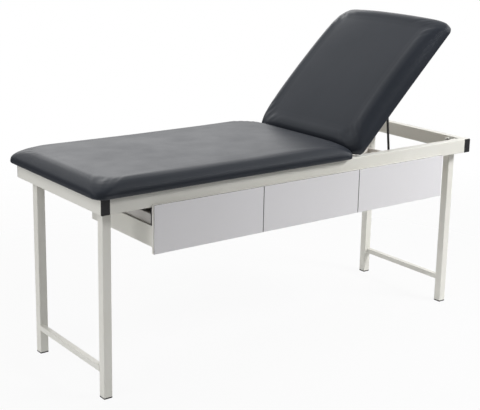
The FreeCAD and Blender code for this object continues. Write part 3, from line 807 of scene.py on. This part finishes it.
def hem_corner(builder, staples, centre, end, side, corner, fold):
    """The cover folded round a board's corner and gathered towards its inner side."""
    outline = []
    total = FOLDS * FOLD_STEPS
    for step in range(total + 1):
        turn = math.pi / 2 * step / total
        away = Vector((end * math.sin(turn), side * math.cos(turn), 0.0))
        share = (step % FOLD_STEPS) / (FOLD_STEPS - 1) if step < total else 0.0
        outline.append((Vector((centre[0], centre[1], rail_top)) + away * corner, away, share))
    away = Vector((end, 0.0, 0.0))
    inner = Vector((centre[0], middle_y + side * HEM_INSIDE, rail_top))
    outline.append((inner + away * corner, away, 0.0))
    rings = []
    for point, away, share in outline:
        ring = [point + Vector((0, 0, HEM_LIP)), point + away * HEM_PROUD + Vector((0, 0, HEM_LIP))]
        for reach, tall in FOLD_ROWS:
            drop = HEM_THICKNESS + fold * share ** 1.5 * tall
            place = inner.lerp(point, reach) - Vector((0, 0, drop))
            ring.append(place + away * HEM_PROUD if reach == 1.0 else place)
        ring.append(inner.lerp(point, 0.03) + Vector((0, 0, HEM_BITE)))
        ring.append(point + Vector((0, 0, HEM_BITE)) - away * HEM_BITE)
        rings.append(ring)
    builder.rings(rings)
    for turn, reach in CORNER_STAPLES:
        away = Vector((end * math.sin(turn), side * math.cos(turn), 0.0))
        point = inner.lerp(Vector((centre[0], centre[1], rail_top)) + away * corner, reach)
        staple(staples, point.x, point.y, point.z - HEM_THICKNESS - 0.6 * fold,
               math.atan2(away.y, away.x) + 0.2)


def turned_piece(builder, name, slot):
    """A piece drawn flat under the backrest, swung up to its place at rest."""
    builder.piece(name, slot, "backrest").data.transform(swing)


def hems(name, low, high, half, body, widths, folds):
    """Hems along a board's long sides and ends, with folded corners between them."""
    cover = Builder()
    staples = Builder()
    edge = half - BOARD_INSET
    corner = PAD_CORNER - BOARD_INSET
    for side in (-1, 1):
        y = middle_y + side * edge
        hem(cover, staples, (low + corner, y, rail_top), (high - corner, y, rail_top),
            (0, -side, 0), edge - HEM_INSIDE, 1.5 + side)
    for x, way, width, fold in zip((low, high), (1, -1), widths, folds):
        hem(cover, staples, (x, middle_y - HEM_INSIDE, rail_top),
            (x, middle_y + HEM_INSIDE, rail_top), (way, 0, 0), width, 5.5 + way)
        for side in (-1, 1):
            hem_corner(cover, staples, (x + way * corner, middle_y + side * (edge - corner)),
                       -way, side, corner, fold)
    if body == "backrest":
        turned_piece(cover, name + "_hems", "upholstery")
        turned_piece(staples, name + "_staples", "zinc_steel")
    else:
        cover.piece(name + "_hems", "upholstery", body)
        staples.piece(name + "_staples", "zinc_steel", body)


hems("seat", board_low[0], board_high[0], seat_half, "frame",
     (END_HEM, END_HEM), (FLAT_FOLD, FLAT_FOLD))
hems("backrest", hinge.x + BACKREST_BOARD_SPAN[0], hinge.x + BACKREST_BOARD_SPAN[1],
     backrest_half, "backrest", (END_HEM, HEAD_HEM), (FLAT_FOLD, FULL_FOLD))


# The dark cloth under the seat, between the tubes

CLOTH_SAG = 0.0030
CLOTH_WRINKLE = 0.0006
CLOTH_DEPTHS = (0.0006, 0.0010)
CLOTH_STEPS = (30, 24)
TUBE_GAP = 0.0015
SIDE_RAIL_WIDTH = 0.0350
SIDE_GAP = 0.002
LEG_ROOM = 0.036


def under_cloth():
    """A thin black cloth that hangs a little between its stapled edges."""
    tubes = [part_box(name) for name in ("end_rail_foot", "cross_tube_foot", "cross_tube_middle",
                                       "cross_tube_hinge")]
    side = rail_low[1] + SIDE_RAIL_WIDTH + SIDE_GAP
    along, across = CLOTH_STEPS
    builder = Builder()
    for before, behind in zip(tubes, tubes[1:]):
        x0 = before[1][0] + TUBE_GAP
        x1 = behind[0][0] - TUBE_GAP
        if before is tubes[0]:
            x0 += LEG_ROOM
        vertices = []
        for depth in CLOTH_DEPTHS:
            for i in range(along + 1):
                for k in range(across + 1):
                    u = i / along
                    v = k / across
                    x = x0 + (x1 - x0) * u
                    y = side - 2 * side * v
                    hang = CLOTH_SAG * (16 * u * (1 - u) * v * (1 - v)) ** 0.6
                    hang += CLOTH_WRINKLE * abs(noise.noise((x * 22.0, y * 22.0, 2.0)))
                    vertices.append((x, middle_y + y, rail_top - depth - hang))
        layer = (along + 1) * (across + 1)
        faces = []
        for i in range(along):
            for k in range(across):
                a = i * (across + 1) + k
                b = a + across + 1
                faces.append((a, a + 1, b + 1, b))
                faces.append((layer + a, layer + b, layer + b + 1, layer + a + 1))
        border = list(range(across + 1))
        border += [i * (across + 1) + across for i in range(1, along + 1)]
        border += [along * (across + 1) + k for k in range(across - 1, -1, -1)]
        border += [i * (across + 1) for i in range(along - 1, 0, -1)]
        for here, after in zip(border, border[1:] + border[:1]):
            faces.append((here, after, layer + after, layer + here))
        builder.add(vertices, faces)
    builder.piece("seat_under_cloth", "upholstery", "frame", material=cloth)


under_cloth()


# Screws, washers and welds

# Lengths from here on are the CAD drawing's, whose origin lies SHIFT away along x.

HINGE_X = 0.277
SHIFT = hinge.x - HINGE_X
DRAWER_X = 0.0055
DRAWER_PITCH = 0.4955
CENTRES = [SHIFT + DRAWER_X + DRAWER_PITCH * number for number in (-1, 0, 1)]
PLATE_INNER = 0.24095
HINGE_YS = (-0.220, 0.0, 0.220)
HINGE_SCREW_X = 0.0205
HINGE_SCREW_STEP = 0.018
HINGE_SCREW_RADIUS = 0.0032
FIXED_SCREW_HEIGHT = 0.0012
MOVING_SCREW_HEIGHT = 0.0016
LEAF_THICKNESS = 0.0022
RACK_SCREW_X = 0.53198
RACK_SCREW_STEP = 0.028
RACK_SCREW_Y = 0.200 - 0.0141
RACK_FLANGE = 0.003
BRACKET_SCREW = (0.01364, -0.318, 0.713)
CHANNEL_SCREW = (0.012, 0.109, 0.6225)
FASCIA_SCREW_X = 0.16795
BOX_FRONT = -0.315
BOX_BOTTOM = 0.571
BOX_HEIGHT = 0.109
FASCIA_SCREW_SHARES = (0.3, 0.75)
LEG_X = 0.870
LEG_Y = 0.2525
LEG_INNER_Y = 0.235
LEG_BOLT_Z = 0.745
LEG_BOLT_STEP = 0.018
LEG_WASHER = (0.0042, 0.0092, 0.0014)
SEAT_BOLT_XS = (-0.600, -0.171)
SEAT_BOLT_Y = 0.200
CROSS_TUBE_BOTTOM = 0.745
SEAT_WASHER = (0.0032, 0.0080, 0.0012)
END_INNER_X = 0.905
SIDE_RAIL_INNER_Y = 0.290
CORNER_BEAD = (0.719, 0.771)
STRETCHER_WIDTH = 0.022
STRETCHER_BEAD = (0.885, 0.903)
HANGER_BEAD = (0.603, 0.642)
HANGER_X = 0.002
HANGER_Y = 0.1125
CORNER_WELD = 0.0022
STRETCHER_WELD = 0.0018
CROSS_TUBE_WELD = 0.0020
HANGER_WELD = 0.0009
STRETCHER_INSET = 0.002
CROSS_TUBE_INSET = 0.003
CROSS_TUBE_TOP_INSET = 0.004
CLEARANCE = 0.0001


def hinge_screws():
    fixed = Builder()
    moving = Builder()
    for y in HINGE_YS:
        for step in (-HINGE_SCREW_STEP, HINGE_SCREW_STEP):
            place = (hinge.x - HINGE_SCREW_X, middle_y + y + step, rail_top + CLEARANCE)
            screw_head(fixed, place, (0, 0, 1), HINGE_SCREW_RADIUS, FIXED_SCREW_HEIGHT)
            place = (hinge.x + HINGE_SCREW_X, middle_y + y + step,
                     rail_top - LEAF_THICKNESS - CLEARANCE)
            screw_head(moving, place, (0, 0, -1), HINGE_SCREW_RADIUS, MOVING_SCREW_HEIGHT)
    fixed.piece("hinge_screws_fixed", "zinc_steel", "frame")
    turned_piece(moving, "hinge_screws_moving", "zinc_steel")


def rack_screws():
    builder = Builder()
    for side in (-1, 1):
        for number in (-3, 1, 5):
            place = (SHIFT + RACK_SCREW_X + RACK_SCREW_STEP * number, middle_y + side * RACK_SCREW_Y,
                     rail_top - RACK_FLANGE - CLEARANCE)
            screw_head(builder, place, (0, 0, -1))
    turned_piece(builder, "rack_screws", "zinc_steel")


def carriage_screws():
    """Screws up through the front brackets, and screws of the rear channel."""
    builder = Builder()
    for centre in CENTRES:
        for facing in (-1, 1):
            plate = centre - facing * PLATE_INNER
            x, y, z = BRACKET_SCREW
            screw_head(builder, (plate + facing * x, middle_y + y, z - CLEARANCE), (0, 0, -1))
            x, y, z = CHANNEL_SCREW
            screw_head(builder, (plate + facing * x, middle_y + y - CLEARANCE, z), (0, -1, 0))
    builder.piece("carriage_screws", "zinc_steel", "frame")


def fascia_screws():
    """Screws through the box fronts into the fascias, seen inside the drawers."""
    for number, centre in enumerate(CENTRES, 1):
        builder = Builder()
        for side in (-1, 1):
            for share in FASCIA_SCREW_SHARES:
                place = (centre + side * FASCIA_SCREW_X, middle_y + BOX_FRONT + CLEARANCE,
                         BOX_BOTTOM + share * BOX_HEIGHT)
                screw_head(builder, place, (0, 1, 0))
        builder.piece("fascia_screws_%d" % number, "zinc_steel", "drawer_%d" % number)


def bolt_washers():
    builder = Builder()
    for end in (-1, 1):
        for side in (-1, 1):
            for rise in (-LEG_BOLT_STEP, LEG_BOLT_STEP):
                place = (SHIFT + end * LEG_X, middle_y + side * LEG_Y, LEG_BOLT_Z + rise)
                washer(builder, place, (-end, 0, 0), *LEG_WASHER)
    for x in SEAT_BOLT_XS:
        for side in (-1, 1):
            place = (SHIFT + x, middle_y + side * SEAT_BOLT_Y, CROSS_TUBE_BOTTOM)
            washer(builder, place, (0, 0, -1), *SEAT_WASHER)
    builder.piece("bolt_washers", "zinc_steel", "frame")


def welds():
    """Beads in the corners where the tubes of the frame meet."""
    beads = []
    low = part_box("stretcher_foot")[0][2]
    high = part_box("stretcher_foot")[1][2]
    for end in (-1, 1):
        for side in (-1, 1):
            x = SHIFT + end * END_INNER_X
            y = middle_y + side * SIDE_RAIL_INNER_Y
            beads.append(((x, y, CORNER_BEAD[0]), (x, y, CORNER_BEAD[1]), CORNER_WELD))
            x = SHIFT + end * (END_INNER_X - STRETCHER_WIDTH)
            y = middle_y + side * LEG_INNER_Y
            beads.append(((x, y, low + STRETCHER_INSET), (x, y, high - STRETCHER_INSET),
                          STRETCHER_WELD))
            start, stop = (SHIFT + end * reach for reach in STRETCHER_BEAD)
            for z in (low, high):
                beads.append(((start, y, z), (stop, y, z), STRETCHER_WELD))
    for name in ("cross_tube_foot", "cross_tube_middle", "cross_tube_hinge"):
        low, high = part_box(name)
        for side in (-1, 1):
            y = middle_y + side * SIDE_RAIL_INNER_Y
            for x in (low[0], high[0]):
                beads.append(((x, y, low[2] + CROSS_TUBE_INSET),
                              (x, y, high[2] - CROSS_TUBE_TOP_INSET), CROSS_TUBE_WELD))
            beads.append(((low[0] + CROSS_TUBE_INSET, y, low[2]),
                          (high[0] - CROSS_TUBE_INSET, y, low[2]), CROSS_TUBE_WELD))
    for centre in CENTRES:
        for facing in (-1, 1):
            x = centre - facing * PLATE_INNER + facing * HANGER_X
            y = middle_y + HANGER_Y
            beads.append(((x, y, HANGER_BEAD[0]), (x, y, HANGER_BEAD[1]), HANGER_WELD))
    builder = Builder()
    for seed, (start, stop, radius) in enumerate(beads):
        bead(builder, start, stop, radius, float(seed))
    builder.piece("weld_beads", "cream_steel", "frame")


hinge_screws()
rack_screws()
carriage_screws()
fascia_screws()
bolt_washers()
welds()


# Edging of the drawer fronts, with a painted shadow line along their front edges

FASCIA_BACK = -0.327
FASCIA_FRONT = -0.343
FASCIA_EASE = 0.0015
# Width of the painted shadow line that runs along the fronts' front edges.
SHADOW_LINE_WIDTH = 0.0030
EDGING = 0.0004
EDGING_GAP = 0.0003
EDGING_SINK = 0.0008
EDGING_BEVEL = 0.00025


def fascia_edging(number):
    """Pale edging round a front's four narrow faces, and a dark strip along their front edges that
    paints the shadow line there.
    """
    low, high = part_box("drawer_fascia_%d" % number)
    band = Builder()
    shadow_strip = Builder()
    back = middle_y + FASCIA_BACK - EDGING_GAP
    front = middle_y + FASCIA_FRONT + FASCIA_EASE
    shadow_line_back = front + SHADOW_LINE_WIDTH
    # The strip next to the front is painted shadow along the front edges; behind it lies the pale
    # edging.
    for start, end, builder, proud in ((shadow_line_back, back, band, EDGING),
                                       (front, shadow_line_back, shadow_strip, EDGING * 0.5)):
        outer, inner = ([(low[0] - out, low[2] - out), (high[0] + out, low[2] - out),
                         (high[0] + out, high[2] + out), (low[0] - out, high[2] + out)]
                        for out in (proud, -EDGING_SINK))
        vertices = [(x, y, z) for y in (start, end) for loop in (outer, inner) for x, z in loop]
        faces = []
        for k in range(4):
            after = (k + 1) % 4
            faces.append((k, after, 8 + after, 8 + k))
            faces.append((4 + k, 12 + k, 12 + after, 4 + after))
            faces.append((k, 4 + k, 4 + after, after))
            faces.append((8 + k, 8 + after, 12 + after, 12 + k))
        builder.add(vertices, faces)
    body = "drawer_%d" % number
    band.piece("fascia_edging_%d" % number, "fascia_board", body, False, edging, EDGING_BEVEL)
    shadow_strip.piece("fascia_painted_shadow_%d" % number, "fascia_board", body, False, shadow_line_paint)


for number in (1, 2, 3):
    fascia_edging(number)


# Rollers of the drawer runners

RUNNER_MIDDLE = 0.609
ROLLER_STEPS = 32
ROLLER_PROFILE = ((0.0030, 0.0), (0.0150, 0.0), (0.0158, 0.0008), (0.0158, 0.0050), (0.0150, 0.0058),
                  (0.0070, 0.0058), (0.0062, 0.0050), (0.0040, 0.0050), (0.0002, 0.0056))
FIXED_ROLLER = (0.0030, -0.296)
MOVING_ROLLER = (0.0035, 0.075)


def roller(builder, plate, place, facing):
    """A small grooved roller on its rivet, at (distance from the side plate, y)."""
    x, y = place
    lathe(builder, (plate + facing * x, middle_y + y, RUNNER_MIDDLE), (facing, 0, 0),
          ROLLER_PROFILE, ROLLER_STEPS)


def rollers():
    fixed = Builder()
    for number, centre in enumerate(CENTRES, 1):
        moving = Builder()
        for facing in (-1, 1):
            plate = centre - facing * PLATE_INNER
            roller(fixed, plate, FIXED_ROLLER, facing)
            roller(moving, plate, MOVING_ROLLER, facing)
        moving.piece("runner_rollers_%d" % number, "zinc_steel", "drawer_%d" % number, material=nylon)
    fixed.piece("runner_rollers_fixed", "zinc_steel", "frame", material=nylon)


rollers()


# The floor, the background and the lamps

FLOOR_COLOUR = (0.66, 0.66, 0.66)
FLOOR_REACH = 4.0
FLOOR_DROP = 0.0004
FLOOR_FADE = (1.6, 3.4)
FLOOR_WHITE = 0.92
FLOOR_SHINE = 0.30
AMBIENT = 0.17
HORIZON_SHINE = 1.75
ZENITH_SHINE = 0.62
LOW_SHINE = 0.08
FRONT_SHINE = 0.24
LEFT_SHINE = 0.10
RIGHT_SHINE = 0.65
GLOW_SHINE = 1.2
GLOW_DIRECTION = (0.85, -0.30, 0.43)
GLOW_SPAN = (0.80, 1.0)
HORIZON_SPAN = (0.22, 0.72)
LOW_SPAN = (-0.05, 0.40)
FRONT_SPAN = (-0.25, 0.45)
LEFT_SPAN = (0.02, 0.36)
RIGHT_SPAN = (0.44, 0.66)


def make_floor():
    """A pale floor that keeps a soft shadow and fades out far from the couch."""
    s = Surface("floor_pale", FLOOR_COLOUR, 0.9, specular=0.0)
    tree = s.tree
    s.bump(s.noise(60.0, 2.0), 0.05, 0.0005)
    rays = tree.nodes.new("ShaderNodeLightPath")
    direct = math_node(tree, "MAXIMUM", rays.outputs["Is Camera Ray"],
                       rays.outputs["Is Transmission Ray"])
    shine = math_node(tree, "MULTIPLY", rays.outputs["Is Glossy Ray"], FLOOR_SHINE)
    share = math_node(tree, "MAXIMUM", math_node(tree, "MULTIPLY", direct, FLOOR_WHITE), shine)
    white = tree.nodes.new("ShaderNodeEmission")
    white.inputs["Color"].default_value = (1.0, 1.0, 1.0, 1.0)
    white.inputs["Strength"].default_value = 1.0
    mixed = tree.nodes.new("ShaderNodeMixShader")
    tree.links.new(share, mixed.inputs["Fac"])
    tree.links.new(s.shader.outputs["BSDF"], mixed.inputs[1])
    tree.links.new(white.outputs["Emission"], mixed.inputs[2])
    clear = tree.nodes.new("ShaderNodeBsdfTransparent")
    distance = tree.nodes.new("ShaderNodeVectorMath")
    distance.operation = "LENGTH"
    tree.links.new(s.place, distance.inputs[0])
    fade = range_node(tree, distance.outputs["Value"], *FLOOR_FADE, 0.0, 1.0)
    edge = tree.nodes.new("ShaderNodeMixShader")
    tree.links.new(fade, edge.inputs["Fac"])
    tree.links.new(mixed.outputs["Shader"], edge.inputs[1])
    tree.links.new(clear.outputs["BSDF"], edge.inputs[2])
    tree.links.new(edge.outputs["Shader"], tree.nodes["Material Output"].inputs["Surface"])
    corners = [(x * FLOOR_REACH, y * FLOOR_REACH, 0) for x, y in ((-1, -1), (1, -1), (1, 1), (-1, 1))]
    floor = new_object("floor", corners, [(0, 1, 2, 3)])
    floor.location.z = -FLOOR_DROP
    floor.data.materials.append(s.material)


def make_world():
    """White for the camera, a bright horizon for reflections, and a low even light for the rest."""
    world = bpy.data.worlds.new("studio")
    scene.world = world
    world.use_nodes = True
    tree = world.node_tree

    def combine(operation, first, second):
        return math_node(tree, operation, first, second)

    def span(value, ends, low, high):
        return range_node(tree, value, *ends, low, high, "SMOOTHSTEP")

    rays = tree.nodes.new("ShaderNodeLightPath")
    coordinates = tree.nodes.new("ShaderNodeTexCoord")
    apart = tree.nodes.new("ShaderNodeSeparateXYZ")
    tree.links.new(coordinates.outputs["Generated"], apart.inputs["Vector"])
    band = span(apart.outputs["Z"], HORIZON_SPAN, HORIZON_SHINE, 0.0)
    risen = span(apart.outputs["Z"], LOW_SPAN, LOW_SHINE, 1.0)
    ahead = span(apart.outputs["Y"], FRONT_SPAN, FRONT_SHINE, 1.0)
    left = span(apart.outputs["X"], LEFT_SPAN, LEFT_SHINE, 1.0)
    right = span(apart.outputs["X"], RIGHT_SPAN, 1.0, RIGHT_SHINE)
    towards = tree.nodes.new("ShaderNodeVectorMath")
    towards.operation = "DOT_PRODUCT"
    towards.inputs[1].default_value = GLOW_DIRECTION
    tree.links.new(coordinates.outputs["Generated"], towards.inputs[0])
    glow = span(towards.outputs["Value"], GLOW_SPAN, 0.0, GLOW_SHINE)
    band = combine("MULTIPLY", band, combine("MULTIPLY", left, right))
    shine = combine("MULTIPLY", combine("ADD", band, ZENITH_SHINE), combine("MULTIPLY", risen, ahead))
    shine = combine("ADD", shine, glow)
    seen = combine("MAXIMUM", rays.outputs["Is Camera Ray"], rays.outputs["Is Transmission Ray"])
    glossy = combine("MULTIPLY", rays.outputs["Is Glossy Ray"], shine)
    diffuse = combine("SUBTRACT", 1.0, rays.outputs["Is Glossy Ray"])
    level = combine("MAXIMUM", combine("MAXIMUM", seen, glossy), combine("MULTIPLY", diffuse, AMBIENT))
    background = tree.nodes["Background"]
    background.inputs["Color"].default_value = (1.0, 1.0, 1.0, 1.0)
    tree.links.new(level, background.inputs["Strength"])


def lamp(name, place, target, size, power, spread=180.0):
    """A soft lamp that lights the couch; the world alone gives the reflections."""
    data = bpy.data.lights.new(name, "AREA")
    data.shape = "RECTANGLE"
    data.size = size[0]
    data.size_y = size[1]
    data.energy = power
    data.spread = math.radians(spread)
    light = bpy.data.objects.new(name, data)
    light.location = place
    aim = Vector(target) - Vector(place)
    light.rotation_euler = aim.to_track_quat("-Z", "Y").to_euler()
    light.visible_glossy = False
    light.visible_camera = False
    scene.collection.objects.link(light)


make_floor()
make_world()
lamp("left_high", (-4.6, -0.8, 4.4), (0.0, 0.0, 0.4), (2.4, 2.0), 80.0)
lamp("left_low", (-4.5, -0.2, 1.0), (0.0, 0.0, 0.4), (2.6, 1.4), 46.0)
lamp("overhead", (0.2, 0.7, 3.2), (0.1, 0.0, 0.8), (3.0, 2.0), 40.0)
lamp("front_right", (2.6, -3.0, 3.3), (1.0, -0.3, 0.6), (1.6, 1.2), 25.0, 70.0)
lamp("right_near", (2.4, -1.9, 1.7), (1.0, -0.3, 0.5), (1.2, 1.0), 4.6, 110.0)
lamp("back", (-0.3, 4.2, 1.1), (0.0, 0.0, 0.8), (3.4, 1.2), 58.0)
scene.view_settings.view_transform = "Standard"
